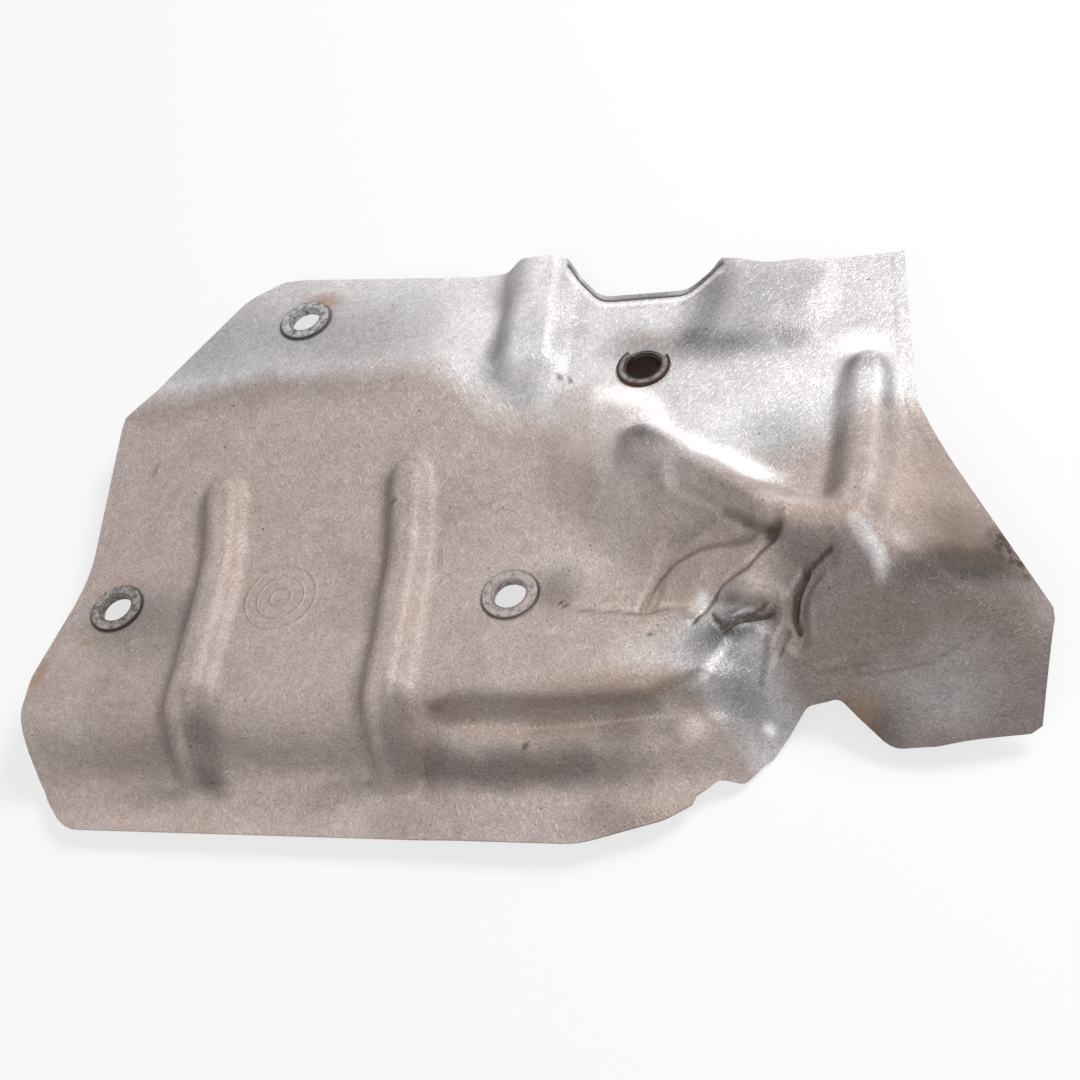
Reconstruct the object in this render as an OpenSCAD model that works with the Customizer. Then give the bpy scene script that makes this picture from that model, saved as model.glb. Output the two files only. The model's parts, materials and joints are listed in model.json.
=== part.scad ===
// Pressed exhaust heat shield with three crimped eyelets and one broken spacer bush.
// Everything is drawn in the press frame: the fixing holes point along Z, the centre hole is
// at X = 0, Y = 0, and the upper deck is at Z = 0. lay_down() then turns the shield so that
// it rests on the three lowest places of its rim, with the origin under its middle.

/* [Sheet] */
// Thickness of the pressed sheet
sheet_t = 1.0; // [0.8:0.1:1.3]
// From the centre hole to the left edge
left_reach = 147.5; // [144:0.5:152]
// From the centre hole to the straight right edge of the deck
deck_reach = 115.8; // [114:0.2:118]
// From the centre hole to the tip of the right wing
wing_reach = 145.2; // [142:0.2:149]
// From the centre hole to the far left corner of the deck
far_reach = 121.6; // [119:0.2:125]
// From the centre hole to the lowest point of the near lip
near_reach = 66; // [64:0.5:69]

/* [Form] */
// Place of the bend between the deck and the sloping face
deck_bend_y = 71.5; // [69:0.5:74]
// Place of the bend between the sloping face and the plateau
plateau_bend_y = 17; // [14:0.5:19]
// Depth of the plateau below the deck
plateau_drop = 22; // [20:0.5:24]
// Place of the nose, where the plateau ends
nose_y = 36; // [35:0.5:37]
// Depth of the near lip below the plateau
nose_drop = 21; // [19:0.5:23]
// Slope of the near lip, as rise over run
lip_slope = 0.15; // [0.05:0.01:0.25]
// Slope of the right shoulder, as rise over run
shoulder_slope = 0.6; // [0.5:0.01:0.7]

/* [Beads] */
// Width of the two left beads at their foot
bead_w = 16; // [14:0.5:17]
// Width of the flat crest of the two left beads
bead_crest = 6; // [4:0.5:8]
// Height of the two left beads
bead_h = 5; // [4:0.2:6]
// Place of the outer left bead
bead_outer_x = 93.3; // [91:0.1:95]
// Place of the inner left bead
bead_inner_x = 33; // [31:0.1:35]
// Width of the bead that runs off the far edge
far_bead_w = 26; // [24:0.5:28]
// Height of the bead that runs off the far edge
far_bead_h = 5.5; // [4:0.5:6.5]
// Height of the V shaped ridge round the deck's pocket
ridge_h = 4.6; // [4:0.2:6]
// Width of the V shaped ridge at its foot
ridge_w = 19; // [17:0.5:21]
// Height of the wide raised panel right of the notch
panel_h = 2; // [1:0.2:3]

/* [Notch] */
// Place of the notch in the far edge
notch_x = 38; // [37:0.5:39]
// Width of the notch at its mouth
notch_w = 47; // [45:0.5:48]
// Width of the notch at its floor
notch_floor = 27; // [24:0.5:29]
// Depth of the notch
notch_depth = 16; // [14:0.5:17]
// Height by which the notch's edge is set down
notch_set = 1.6; // [1:0.1:2.6]

/* [Fixings] */
// Bore of the eyelets
eyelet_bore = 9.6; // [8.6:0.1:10.2]
// Outer width of the eyelets' flanges
eyelet_flange = 16.4; // [15.8:0.1:17]
// Wall of the eyelets
eyelet_wall = 0.7; // [0.6:0.05:0.8]
// Bore of the spacer bush
bush_bore = 10.2; // [9.8:0.1:10.6]
// Outer width of the bush's flange
bush_flange = 16; // [15.6:0.1:16.6]
// Length of the bush below the sheet's upper face
bush_l = 11; // [9:0.5:12]
// Part of the bush's flange that has broken away, in degrees
bush_gap = 102; // [80:1:120]
// Play between a fixing and its hole in the sheet
fixing_play = 0.1; // [0.05:0.01:0.2]

/* [Hidden] */
$fn = 64;

eyelet_tube = eyelet_bore + 2 * eyelet_wall;
bush_tube = bush_bore + 2 * eyelet_wall;
flange_t = 0.9;                         // thickness of the flanges
curl_w = 1.4;                           // width of the roll under the sheet
upper_left_hole = [-73.7, 100.4, 0];
lower_left_hole = [-125.6, 5.6, -plateau_drop];
centre_hole = [0, 0, -plateau_drop];
bush_hole = [39.7, 62.7, 0];
holes = [upper_left_hole, lower_left_hole, centre_hole, bush_hole];
notch_lip = 4.2;                        // width of the set-down strip along the notch
pad_flat = 9.5;                         // radius of the flat seat round each hole
pad_blend = 3;                          // width of the ring that blends it in

// Small rules

function mix(a, b, t) = a + (b - a) * t;
function ease(t) = let (s = max(0, min(1, t))) s * s * (3 - 2 * s);
// A ramp that rises from 0, with a rounded foot of half width r
function ramp(t, r) = t <= -r ? 0 : t >= r ? t : (t + r) * (t + r) / (4 * r);
// The larger of two depths, rounded where they meet
function larger(a, b) = pow(pow(a, 4) + pow(b, 4), 0.25);
function unit(v) = v / norm(v);
function flat(p) = [p[0], p[1]];
// A slope from the line y = top down to y = foot, with rounded bends
function fall(y, top, foot, drop, r_top, r_foot) =
    -drop / (top - foot) * (ramp(top - y, r_top) - ramp(foot - y, r_foot));
// A table read with its corners smoothed over a width of about 12
function smooth_lookup(x, table) =
    (lookup(x - 6, table) + lookup(x - 3, table) + lookup(x, table)
     + lookup(x + 3, table) + lookup(x + 6, table)) / 5;
// Distance from a point to a stretch and to a path
function off_stretch(p, a, b) =
    let (d = b - a, t = max(0, min(1, (p - a) * d / (d * d)))) norm(p - a - t * d);
function off_path(p, path) =
    min([for (i = [1 : len(path) - 1]) off_stretch(p, path[i - 1], path[i])]);
// A pressed bead: full height on its crest, nothing beyond half its width
function bead(p, path, width, crest, h) =
    h * ease((width / 2 - off_path(p, path)) / (width / 2 - crest / 2));
// Points of a rounded corner at b, of radius r, between a and c
function corner(a, b, c, r) =
    let (u = unit(a - b), w = unit(c - b), half = acos(u * w) / 2,
         reach = r / tan(half), middle = b + unit(u + w) * r / sin(half))
    [for (k = [0 : 4]) middle + unit(mix(b + u * reach, b + w * reach, k / 4) - middle) * r];
// A chain of [x, y, radius] with its corners rounded
function rounded(chain) = [
    flat(chain[0]),
    for (i = [1 : len(chain) - 2])
        each corner(flat(chain[i - 1]), flat(chain[i]), flat(chain[i + 1]), chain[i][2]),
    flat(chain[len(chain) - 1])];
function turned(points) = [for (p = points) [p[1], p[0]]];

// Outline, as four chains of [x, y, corner radius]

far_mid_y = far_reach - 10.6;
notch_floor_y = far_mid_y - notch_depth;
notch_left_y = notch_floor_y + 1.6;
near_left = [-left_reach + 3.6, -near_reach + 18];
near_right = [wing_reach - 5.4, -40.2];
far_left = [-left_reach + 17.2, far_reach - 54.4];
far_right = [deck_reach, far_reach - 22.6];
far_edge = rounded([
    [far_left[0], far_left[1], 0], [-120.5, far_reach - 45.2, 14],
    [-97, far_reach - 7.6, 14], [-84, far_reach, 8],
    [-16, far_mid_y, 20], [notch_x - notch_w / 2, far_mid_y, 2],
    [notch_x - notch_floor / 2, notch_left_y, 8],
    [notch_x + notch_floor / 2, notch_floor_y, 6],
    [notch_x + notch_w / 2, far_mid_y - 6, 2],
    [notch_x + notch_w / 2 + 14, far_mid_y - 12, 12], [far_right[0], far_right[1], 0]]);
near_edge = rounded([
    [near_left[0], near_left[1], 0], [-137, -near_reach + 9.4, 10],
    [19, -near_reach, 30], [42.5, -near_reach + 5.8, 14],
    [50.2, -near_reach + 9.8, 0.5], [51, -near_reach + 12.2, 0.8], [57, -50.3, 6],
    [63.2, -50, 4], [82, -33, 4], [91, -32.6, 4], [103, -43.4, 8], [114, -44, 10],
    [wing_reach - 8.2, -41.6, 3], [near_right[0], near_right[1], 0]]);
left_edge = turned(rounded([
    [near_left[0], near_left[1], 0], [-left_reach + 1, -43, 4], [-left_reach, -18, 20],
    [-left_reach + 9.5, 20, 60], [far_left[0] - 0.8, far_left[1] - 3, 2],
    [far_left[0], far_left[1], 0]]));
right_edge = turned(rounded([
    [near_right[0], near_right[1], 0], [wing_reach, -18.6, 3],
    [deck_reach + 7.4, 23, 60], [deck_reach, 40, 12], [far_right[0], far_right[1], 0]]));

// Height of the sheet's upper face

scarp_line = [
    [-70, 66], [-30, 66], [-18, 64], [-8, 60], [0, 57], [7, 50], [13, 43], [20, 37],
    [34, 26], [45, 18], [53, 14], [66, 6], [75, 0]];
scarp_widths = [[-30, 14], [-12, 24], [0, 32], [40, 30], [53, 26], [75, 20]];
bowl_line = [[60, 0], [80, 0], [98, -5], [108, -11], [118, -16], [130, -17], [150, -14]];
bowl_slopes = [[80, 1.12], [98, 1.15], [108, 1.26], [118, 1.45], [130, 1.6], [150, 1.6]];
shoulder_x = 111;
ridge_path = [
    [40, 34], [53, 23.5], [62, 15.5], [71, 8], [80, 2], [90, -1.5], [97, 1], [99, 8],
    [101, 20], [102.5, 35], [103.5, 52]];
outer_path = [[-bead_outer_x, 38], [-bead_outer_x, -nose_y - 6]];
inner_path = [[-bead_inner_x, 38], [-bead_inner_x, -nose_y - 8]];
far_path = [[5, 140], [5, deck_bend_y]];
panel_path = [[77, 140], [77, deck_bend_y + 16]];
// Creases and dents of the blow: path, width and depth
creases = [
    [[[50, 21], [59, 13], [66.5, 6.8], [75.2, -0.4]], 8, 2.4],
    [[[76, 0], [69, -1], [61, -4], [56, -9]], 9, 2.2],
    [[[64, 10], [54, 8], [45, 5], [40, -7]], 7, 1.2],
    [[[58, -10], [66, -12], [73, -15]], 10, 2.6],
    [[[90, -7], [84, -10], [81, -15], [80.5, -20]], 9, 2.4],
    [[[39, 41], [40, 41]], 11, 1.6],
    [[[70, -34], [70, -42]], 7, 1.2]];

function nose_left(y) = fall(y, -nose_y, -nose_y - 7.5, nose_drop, 8, 3);
function nose_middle(y) =
    fall(y, -nose_y + 4.5, -nose_y + 0.5, nose_drop * 0.4, 4, 2)
    + fall(y, -nose_y - 6, -nose_y - 13, nose_drop * 0.6, 5, 3);
function left_form(x, y, wrap) =
    let (k = ease((x + 26) / 10), out = y + wrap)
    fall(y, deck_bend_y, plateau_bend_y, plateau_drop, 11, 11)
    + mix(nose_left(out), nose_middle(out), k)
    - lip_slope * ramp(-nose_y - 10 - 3 * k - y, 3);
function right_form(x, y) =
    let (bowl = smooth_lookup(x, bowl_slopes) * ramp(smooth_lookup(x, bowl_line) - y, 8),
         shoulder = shoulder_slope * ramp(x - shoulder_x, 10) * ease((50 - y) / 20))
    -larger(bowl, shoulder);
function scarp_share(x, y) =
    let (w = lookup(y, scarp_widths), d = x - lookup(y, scarp_line))
    (ramp(d + w / 2, w / 4) - ramp(d - w / 2, w / 4)) / w;
// The two left beads run on round the nose, which they push out
function left_beads(p) =
    bead(p, outer_path, bead_w, bead_crest, 1) + bead(p, inner_path, bead_w, bead_crest, 1);
function pressed(p) =
    let (beads = left_beads(p))
    mix(left_form(p[0], p[1], beads * bead_h * 0.7), right_form(p[0], p[1]),
        scarp_share(p[0], p[1]))
    + beads * bead_h
    + bead(p, far_path, far_bead_w, far_bead_w / 3, far_bead_h)
    + bead(p, ridge_path, ridge_w, 4, ridge_h)
    + bead(p, panel_path, 44, 16, panel_h);
function dented(p) = max([for (c = creases) bead(p, c[0], c[1], 1.5, c[2])]);
// The notch's edge is set down by a short step
function set_down(p) =
    notch_set * ease((notch_lip - (lookup(p[0], far_edge) - p[1])) / 0.8)
    * ease((notch_w / 2 + 1 - abs(p[0] - notch_x)) / 4);
// A flat seat round each hole
function seated(p, z, i = 0) =
    i == len(holes) ? z
    : seated(p, mix(z, holes[i][2],
                    ease((pad_flat + pad_blend - norm(p - flat(holes[i]))) / pad_blend)), i + 1);
function top_z(x, y) =
    let (p = [x, y]) seated(p, pressed(p) - dented(p)) - set_down(p);

// Grid of the sheet. A column stands between two of six guide lines: the left edge, the
// outer feet of the two left beads, the step of the deck, the foot of the right ridge and the
// right edge. Its rows follow the near and far edges.

step_line = [
    [-70, 66], [-30, 66], [-15, 72], [0, 78], [8, 74], [17, 64], [26, 54], [34, 44],
    [50, 26], [66, 17], [78, 14], [far_mid_y, notch_x - notch_w / 2],
    [130, notch_x - notch_w / 2]];
foot_line = [[-70, 96], [-10, 93], [12, 90], [54, 94], [130, 94]];
outer_foot = bead_outer_x + bead_w / 2;
inner_foot = bead_inner_x - bead_w / 2;
function guide(n, y, k) =
    n == 0 ? left_x[k] : n == 1 ? -outer_foot : n == 2 ? -inner_foot
    : n == 3 ? lookup(y, step_line) : n == 4 ? lookup(y, foot_line) : right_x[k];
function shares(n, from, to, cells) = [for (k = [0 : cells - 1]) [n, mix(from, to, k / cells)]];
bead_share = bead_w / (outer_foot - inner_foot);
columns = [
    each shares(0, 0, 1, 8),
    each shares(1, 0, bead_share, 8),
    each shares(1, bead_share, 1 - bead_share, 7),
    each shares(1, 1 - bead_share, 1, 8),
    each shares(2, 0, 0.44, 3),
    each shares(2, 0.44, 1, 12),
    each shares(3, 0, 0.591, 12),
    each shares(3, 0.591, 1, 6),
    each shares(4, 0, 1, 9),
    [4, 1]];
low_rows = [0, 0.17, 0.31, 0.39, 0.47, 0.54, 0.61, 0.69, 0.78, 0.83, 0.89, 0.94, 1];
mid_count = 13;
high_count = 9;
function rows(a, d) =
    let (b = max(-nose_y + 8, a + 14), c = min(42, mix(a, d, 0.62)))
    [for (k = low_rows) mix(a, b, k), for (k = [1 : mid_count]) mix(b, c, k / mid_count),
     for (k = [1 : high_count]) mix(c, d - notch_lip, k / high_count), d - notch_lip + 0.8,
     d];
left_x = [for (y = rows(near_left[1], far_left[1])) lookup(y, left_edge)];
right_x = [for (y = rows(near_right[1], far_right[1])) lookup(y, right_edge)];
last_row = len(left_x) - 1;
last_column = len(columns) - 1;
function at_row(c, y, k) = mix(guide(c[0], y, k), guide(c[0] + 1, y, k), c[1]);
plan = [for (c = columns)
    let (ys = rows(lookup(at_row(c, -60, 0), near_edge),
                   lookup(at_row(c, 125, last_row), far_edge)))
    [for (k = [0 : last_row]) [at_row(c, ys[k], k), ys[k]]]];
upper = [for (line = plan) [for (p = line) [p[0], p[1], top_z(p[0], p[1])]]];
// The lower face lies one sheet thickness below, square to the upper face
function below(i, k) =
    let (along = upper[min(i + 1, last_column)][k] - upper[max(i - 1, 0)][k],
         across = upper[i][min(k + 1, last_row)] - upper[i][max(k - 1, 0)])
    upper[i][k] - unit(cross(along, across)) * sheet_t;
lower = [for (i = [0 : last_column]) [for (k = [0 : last_row]) below(i, k)]];
count = (last_column + 1) * (last_row + 1);
function at(i, k) = i * (last_row + 1) + k;
// Two triangles on the shorter diagonal, seen from the face that shows
function halves(a, b, c, d, first) = first ? [[a, b, c], [a, c, d]] : [[a, b, d], [b, c, d]];
function first_diagonal(i, k) =
    norm(upper[i][k] - upper[i + 1][k + 1]) < norm(upper[i + 1][k] - upper[i][k + 1]);
upper_faces = [for (i = [0 : last_column - 1]) for (k = [0 : last_row - 1])
    each halves(at(i, k), at(i, k + 1), at(i + 1, k + 1), at(i + 1, k), first_diagonal(i, k))];
lower_faces = [for (f = upper_faces) [f[2] + count, f[1] + count, f[0] + count]];
rim = [
    for (i = [0 : last_column - 1]) at(i, 0),
    for (k = [0 : last_row - 1]) at(last_column, k),
    for (i = [last_column : -1 : 1]) at(i, last_row),
    for (k = [last_row : -1 : 1]) at(0, k)];
rim_faces = [for (i = [0 : len(rim) - 1])
    let (a = rim[i], b = rim[(i + 1) % len(rim)])
    each [[a, b, b + count], [a, b + count, a + count]]];

// Rest: the shield lies on the three lowest places of its lower rim

low_rim = [for (i = rim) lower[floor(i / (last_row + 1))][i % (last_row + 1)]];
first_tilt = 14;
function lying(p) = p[2] * cos(first_tilt) - p[1] * sin(first_tilt);
function lowest(points, i = 0, best = 0) =
    i == len(points) ? points[best]
    : lowest(points, i + 1, lying(points[i]) < lying(points[best]) ? i : best);
foot_far = lowest([for (p = low_rim) if (p[1] > 0) p]);
foot_left = lowest([for (p = low_rim) if (p[1] < 0 && p[0] < 0) p]);
foot_right = lowest([for (p = low_rim) if (p[1] < 0 && p[0] > 100) p]);
up = unit(cross(foot_right - foot_left, foot_far - foot_left));
turn_x = atan2(up[1], up[2]);
turn_y = -atan2(up[0], norm([up[1], up[2]]));
function about_x(p, a) = [p[0], p[1] * cos(a) - p[2] * sin(a), p[1] * sin(a) + p[2] * cos(a)];
function about_y(p, a) = [p[0] * cos(a) + p[2] * sin(a), p[1], p[2] * cos(a) - p[0] * sin(a)];
lain = [for (line = concat(upper, lower)) each [for (p = line)
    about_y(about_x(p, turn_x), turn_y)]];
xs = [for (p = lain) p[0]];
ys = [for (p = lain) p[1]];
zs = [for (p = lain) p[2]];
shift = [-(min(xs) + max(xs)) / 2, -(min(ys) + max(ys)) / 2, -min(zs)];
module lay_down() {
    translate(shift)
    rotate([turn_x, turn_y, 0])
    children();
}

// The pieces

module hole_tool(at, tube) {
    translate([at[0], at[1], at[2] - 4])
    cylinder(d = tube + 2 * fixing_play, h = 8);
}
module shield_sheet() {
    color([0.62, 0.60, 0.57])
    lay_down()
    difference() {
        polyhedron(points = concat([for (line = upper) each line], [for (line = lower) each line]),
                   faces = concat(upper_faces, lower_faces, rim_faces), convexity = 10);
        hole_tool(upper_left_hole, eyelet_tube);
        hole_tool(lower_left_hole, eyelet_tube);
        hole_tool(centre_hole, eyelet_tube);
        hole_tool(bush_hole, bush_tube);
    }
}

// Section of an eyelet: flange above the sheet, tube through it and roll below it
edge_r = 0.35;
function quarter(c, from, r) = [for (k = [0 : 3]) c + r * [cos(from + 30 * k), sin(from + 30 * k)]];
eyelet_section = let (b = eyelet_bore / 2, t = eyelet_tube / 2, f = eyelet_flange / 2,
                      u = -sheet_t, w = -sheet_t - flange_t)
    [each quarter([b + edge_r, w + edge_r], 180, edge_r),
     each quarter([t + curl_w - edge_r, w + edge_r], 270, edge_r),
     [t + curl_w, u], [t, u], [t, 0], [f, 0],
     each quarter([f - edge_r, flange_t - edge_r], 0, edge_r),
     each quarter([b + edge_r, flange_t - edge_r], 90, edge_r)];
module eyelet(at) {
    color([0.66, 0.66, 0.65])
    lay_down()
    translate(at)
    rotate_extrude()
    polygon(eyelet_section);
}
module eyelet_upper_left() {
    eyelet(upper_left_hole);
}
module eyelet_lower_left() {
    eyelet(lower_left_hole);
}
module eyelet_centre() {
    eyelet(centre_hole);
}

// The bush is one turned tube with a flange, and a sector of its top has broken away
break_z = -0.6;                         // height of the broken edge of the tube
break_from = 27;                        // direction in which the break starts
bush_section = let (b = bush_bore / 2, t = bush_tube / 2, f = bush_flange / 2)
    [[b, -bush_l], [t, -bush_l], [t, 0], [f, 0],
     each quarter([f - edge_r, flange_t - edge_r], 0, edge_r),
     each quarter([b + edge_r, flange_t - edge_r], 90, edge_r)];
module spacer_bush() {
    color([0.55, 0.55, 0.54])
    lay_down()
    translate(bush_hole)
    difference() {
        rotate_extrude()
        polygon(bush_section);
        translate([0, 0, break_z])
        linear_extrude(height = 4)
        polygon([[0, 0], for (k = [0 : 3])
            14 * [cos(break_from + bush_gap * k / 3), sin(break_from + bush_gap * k / 3)]]);
    }
}

shield_sheet();
eyelet_upper_left();
eyelet_lower_left();
eyelet_centre();
spacer_bush();
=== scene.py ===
import json
import math
import bmesh
import bpy
import numpy as np
from mathutils import Matrix, Vector


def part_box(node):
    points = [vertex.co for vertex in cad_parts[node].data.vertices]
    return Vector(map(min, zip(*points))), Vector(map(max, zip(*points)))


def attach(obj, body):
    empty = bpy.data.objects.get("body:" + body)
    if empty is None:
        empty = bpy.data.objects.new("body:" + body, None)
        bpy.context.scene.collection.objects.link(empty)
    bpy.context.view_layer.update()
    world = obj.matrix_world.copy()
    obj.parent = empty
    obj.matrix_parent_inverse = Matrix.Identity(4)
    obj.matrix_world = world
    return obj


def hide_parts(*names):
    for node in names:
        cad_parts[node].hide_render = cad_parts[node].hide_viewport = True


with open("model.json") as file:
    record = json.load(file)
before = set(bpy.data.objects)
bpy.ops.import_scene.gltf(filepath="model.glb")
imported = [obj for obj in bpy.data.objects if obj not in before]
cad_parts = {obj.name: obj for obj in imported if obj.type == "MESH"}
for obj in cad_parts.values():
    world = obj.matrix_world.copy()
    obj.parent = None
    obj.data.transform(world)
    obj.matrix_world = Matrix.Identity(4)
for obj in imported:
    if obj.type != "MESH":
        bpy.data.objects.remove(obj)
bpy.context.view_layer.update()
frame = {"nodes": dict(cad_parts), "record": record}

# The press frame: Z along the fixing holes, the centre hole at X = 0, Y = 0, and the upper
# deck at Z = 0, in millimetres. Its place in the row frame follows from the eyelets' bores.

SHEET_T = 1.0
PLATEAU_DROP = 22.0
UPPER_LEFT_HOLE = (-73.7, 100.4, 0.0)
LOWER_LEFT_HOLE = (-125.6, 5.6, -PLATEAU_DROP)
CENTRE_HOLE = (0.0, 0.0, -PLATEAU_DROP)
BUSH_HOLE = (39.7, 62.7, 0.0)
HOLES = (UPPER_LEFT_HOLE, LOWER_LEFT_HOLE, CENTRE_HOLE, BUSH_HOLE)
BORE_MIDDLE_Z = -0.5

bores = {m["name"]: m for m in frame["record"]["mounts"]}
axis_z = Vector(bores["centre_bore"]["axis"]).normalized()
centre_at = Vector(bores["centre_bore"]["pos_m"])
toward_left = Vector(bores["lower_left_bore"]["pos_m"]) - centre_at
left_angle = math.atan2(LOWER_LEFT_HOLE[1], LOWER_LEFT_HOLE[0])
toward_left = (toward_left - axis_z * toward_left.dot(axis_z)).normalized()
axis_x = (Matrix.Rotation(-left_angle, 3, axis_z) @ toward_left).normalized()
axis_y = axis_z.cross(axis_x)
TURN = np.array([axis_x, axis_y, axis_z])
START = np.array(centre_at) * 1000 - np.array([0, 0, -PLATEAU_DROP + BORE_MIDDLE_Z]) @ TURN


def to_row(points):
    """Points of the press frame, in millimetres, as points of the row frame, in metres."""
    return (np.asarray(points, float) @ TURN + START) / 1000


# Small rules of the form


def mix(a, b, t):
    return a + (b - a) * t


def ease(t):
    """A smooth step from 0 to 1."""
    s = np.clip(t, 0, 1)
    return s * s * (3 - 2 * s)


def ramp(t, r):
    """0 up to -r, t from r on, and a round between them."""
    return np.where(t <= -r, 0, np.where(t >= r, t, (t + r) ** 2 / (4 * r)))


def larger(a, b):
    """About the larger of two depths, with a soft change from one to the other."""
    return (a ** 4 + b ** 4) ** 0.25


def look(x, table):
    """The value at x in a table of places and values."""
    t = np.asarray(table, float)
    return np.interp(x, t[:, 0], t[:, 1])


def smooth_look(x, table):
    return sum(look(x + d, table) for d in (-6, -3, 0, 3, 6)) / 5


def fall(y, top, foot, drop, r_top, r_foot):
    """A slope down from top to foot, with a round at each end."""
    return -drop / (top - foot) * (ramp(top - y, r_top) - ramp(foot - y, r_foot))


def off_path(x, y, path):
    """Distance from a path of straight runs."""
    best = np.full(np.shape(x), 1e9)
    for (ax, ay), (bx, by) in zip(path[:-1], path[1:]):
        dx, dy = bx - ax, by - ay
        t = np.clip(((x - ax) * dx + (y - ay) * dy) / (dx * dx + dy * dy), 0, 1)
        best = np.minimum(best, np.hypot(x - ax - t * dx, y - ay - t * dy))
    return best


def bead(x, y, path, width, crest, height):
    """A rise along a path, level over its crest."""
    return height * ease((width / 2 - off_path(x, y, path)) / (width / 2 - crest / 2))


def rounded(chain):
    """A chain of (x, y, corner radius) as points, with its corners rounded."""
    steps = 8
    points = [chain[0][:2]]
    for before, here, after in zip(chain[:-2], chain[1:-1], chain[2:]):
        corner = np.array(here[:2], float)
        radius = here[2]
        back = np.array(before[:2]) - corner
        ahead = np.array(after[:2]) - corner
        back /= np.linalg.norm(back)
        ahead /= np.linalg.norm(ahead)
        half = math.acos(np.clip(back @ ahead, -1, 1)) / 2
        reach = radius / math.tan(half)
        inward = (back + ahead) / np.linalg.norm(back + ahead)
        middle = corner + inward * radius / math.sin(half)
        for k in range(steps + 1):
            d = mix(corner + back * reach, corner + ahead * reach, k / steps) - middle
            points.append(tuple(middle + d / np.linalg.norm(d) * radius))
    points.append(chain[-1][:2])
    return np.array(points, float)


# Outline of the sheet, as four chains

LEFT_REACH, DECK_REACH, WING_REACH = 147.5, 115.8, 145.2
FAR_REACH, NEAR_REACH = 121.6, 66.0
NOTCH_X, NOTCH_W, NOTCH_FLOOR, NOTCH_DEPTH = 38.0, 47.0, 27.0, 16.0
NOTCH_SET = 1.6
NOTCH_LIP = 4.2
far_mid_y = FAR_REACH - 10.6
notch_floor_y = far_mid_y - NOTCH_DEPTH
near_left = (-LEFT_REACH + 3.6, -NEAR_REACH + 18)
near_right = (WING_REACH - 5.4, -40.2)
far_left = (-LEFT_REACH + 17.2, FAR_REACH - 54.4)
far_right = (DECK_REACH, FAR_REACH - 22.6)
far_edge = rounded([
    (*far_left, 0),
    (-120.5, FAR_REACH - 45.2, 14),
    (-97, FAR_REACH - 7.6, 14),
    (-84, FAR_REACH, 8),
    (-16, far_mid_y, 20),
    (NOTCH_X - NOTCH_W / 2, far_mid_y, 2),
    (NOTCH_X - NOTCH_FLOOR / 2, notch_floor_y + 1.6, 8),
    (NOTCH_X + NOTCH_FLOOR / 2, notch_floor_y, 6),
    (NOTCH_X + NOTCH_W / 2, far_mid_y - 6, 2),
    (NOTCH_X + NOTCH_W / 2 + 14, far_mid_y - 12, 12),
    (*far_right, 0)])
near_edge = rounded([
    (*near_left, 0),
    (-137, -NEAR_REACH + 9.4, 10),
    (19, -NEAR_REACH, 30),
    (42.5, -NEAR_REACH + 5.8, 14),
    (50.2, -NEAR_REACH + 9.8, 0.5),
    (51, -NEAR_REACH + 12.2, 0.8),
    (57, -50.3, 6),
    (63.2, -50, 4),
    (82, -33, 4),
    (91, -32.6, 4),
    (103, -43.4, 8),
    (114, -44, 10),
    (WING_REACH - 8.2, -41.6, 3),
    (*near_right, 0)])
left_edge = rounded([
    (*near_left, 0),
    (-LEFT_REACH + 1, -43, 4),
    (-LEFT_REACH, -18, 20),
    (-LEFT_REACH + 9.5, 20, 60),
    (far_left[0] - 0.8, far_left[1] - 3, 2),
    (*far_left, 0)])[:, ::-1]
right_edge = rounded([
    (*near_right, 0),
    (WING_REACH, -18.6, 3),
    (DECK_REACH + 7.4, 23, 60),
    (DECK_REACH, 40, 12),
    (*far_right, 0)])[:, ::-1]

# Height of the sheet's upper face

DECK_BEND_Y, PLATEAU_BEND_Y, BEND_ROUND = 71.5, 17, 11
NOSE_Y, NOSE_DROP = 36.0, 21.0
LIP_SLOPE, SHOULDER_SLOPE = 0.15, 0.6
BEAD_W, BEAD_CREST, BEAD_H = 16, 6, 5
BEAD_WRAP = 3.5                  # how far a bead pushes the nose out
FAR_BEAD_W, FAR_BEAD_H = 26, 5.5
RIDGE_W, RIDGE_CREST, RIDGE_H = 19, 4, 4.6
PANEL_W, PANEL_CREST, PANEL_H = 44, 16, 2
DENT_FLOOR = 1.5                 # width of a dent's floor
PAD_FLAT, PAD_BLEND = 9.5, 3     # the flat seat round each hole, and its blend
SET_DOWN_BLEND = 0.8             # width of the step along the notch
SCARP_LINE = ((-70, 66), (-30, 66), (-18, 64), (-8, 60), (0, 57), (7, 50), (13, 43), (20, 37),
              (34, 26), (45, 18), (53, 14), (66, 6), (75, 0))
SCARP_WIDTHS = ((-30, 14), (-12, 24), (0, 32), (40, 30), (53, 26), (75, 20))
BOWL_LINE = ((60, 0), (80, 0), (98, -5), (108, -11), (118, -16), (130, -17), (150, -14))
BOWL_SLOPES = ((80, 1.12), (98, 1.15), (108, 1.26), (118, 1.45), (130, 1.6), (150, 1.6))
RIDGE_PATH = ((40, 34), (53, 23.5), (62, 15.5), (71, 8), (80, 2), (90, -1.5), (97, 1), (99, 8),
              (101, 20), (102.5, 35), (103.5, 52))
OUTER_PATH = ((-93.3, 38), (-93.3, -42))
INNER_PATH = ((-33, 38), (-33, -44))
FAR_PATH = ((5, 140), (5, 71.5))
PANEL_PATH = ((77, 140), (77, 87.5))
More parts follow.
